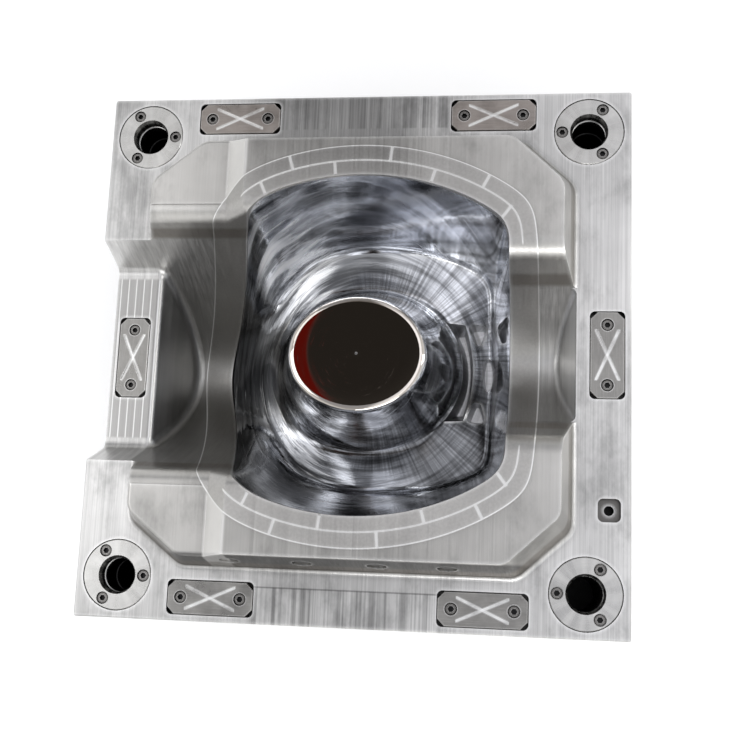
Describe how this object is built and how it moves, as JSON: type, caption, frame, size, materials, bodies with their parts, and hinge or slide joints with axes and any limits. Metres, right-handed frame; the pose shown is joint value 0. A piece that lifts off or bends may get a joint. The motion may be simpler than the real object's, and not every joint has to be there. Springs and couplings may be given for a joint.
{
  "type": "injection mould half",
  "caption": "Square cavity half of an injection mould: raised platform with saddle channels, polished cavity round a boss, guide bushes and wear plates.",
  "frame": {"origin": "centre of the clamping plate's back face, on the surface it stands on", "axes": "+Z out of the parting face, X along the two saddle channels with the notch at -X, Y across them"},
  "size_m": [0.8, 0.8, 0.48],
  "materials": {
    "block_steel": "milled satin outside, mirror polished in the cavity",
    "plate_steel": "ground",
    "ring_steel": "turned",
    "nozzle_steel": "turned",
    "bush_steel": "fine turned",
    "wear_plate_steel": "ground",
    "black_screws": "black oxide",
    "dowel_steel": "ground",
    "nipple_brass": "turned"
  },
  "bodies": {
    "root": {"bush_screws_front_left": "black_screws", "bush_screws_front_right": "black_screws", "bush_screws_rear_left": "black_screws", "bush_screws_rear_right": "black_screws", "cavity_block": "block_steel", "clamping_plate": "plate_steel", "clamping_plate_screws": "black_screws", "cooling_nipples": "nipple_brass", "dowel_pins": "dowel_steel", "guide_bush_front_left": "bush_steel", "guide_bush_front_right": "bush_steel", "guide_bush_rear_left": "bush_steel", "guide_bush_rear_right": "bush_steel", "hot_nozzle": "nozzle_steel", "locating_ring": "ring_steel", "locating_ring_screws": "black_screws", "wear_plate_front_left": "wear_plate_steel", "wear_plate_front_right": "wear_plate_steel", "wear_plate_left": "wear_plate_steel", "wear_plate_rear_left": "wear_plate_steel", "wear_plate_rear_right": "wear_plate_steel", "wear_plate_right": "wear_plate_steel", "wear_plate_screws_front_left": "black_screws", "wear_plate_screws_front_right": "black_screws", "wear_plate_screws_left": "black_screws", "wear_plate_screws_rear_left": "black_screws", "wear_plate_screws_rear_right": "black_screws", "wear_plate_screws_right": "black_screws"}
  },
  "joints": []
}
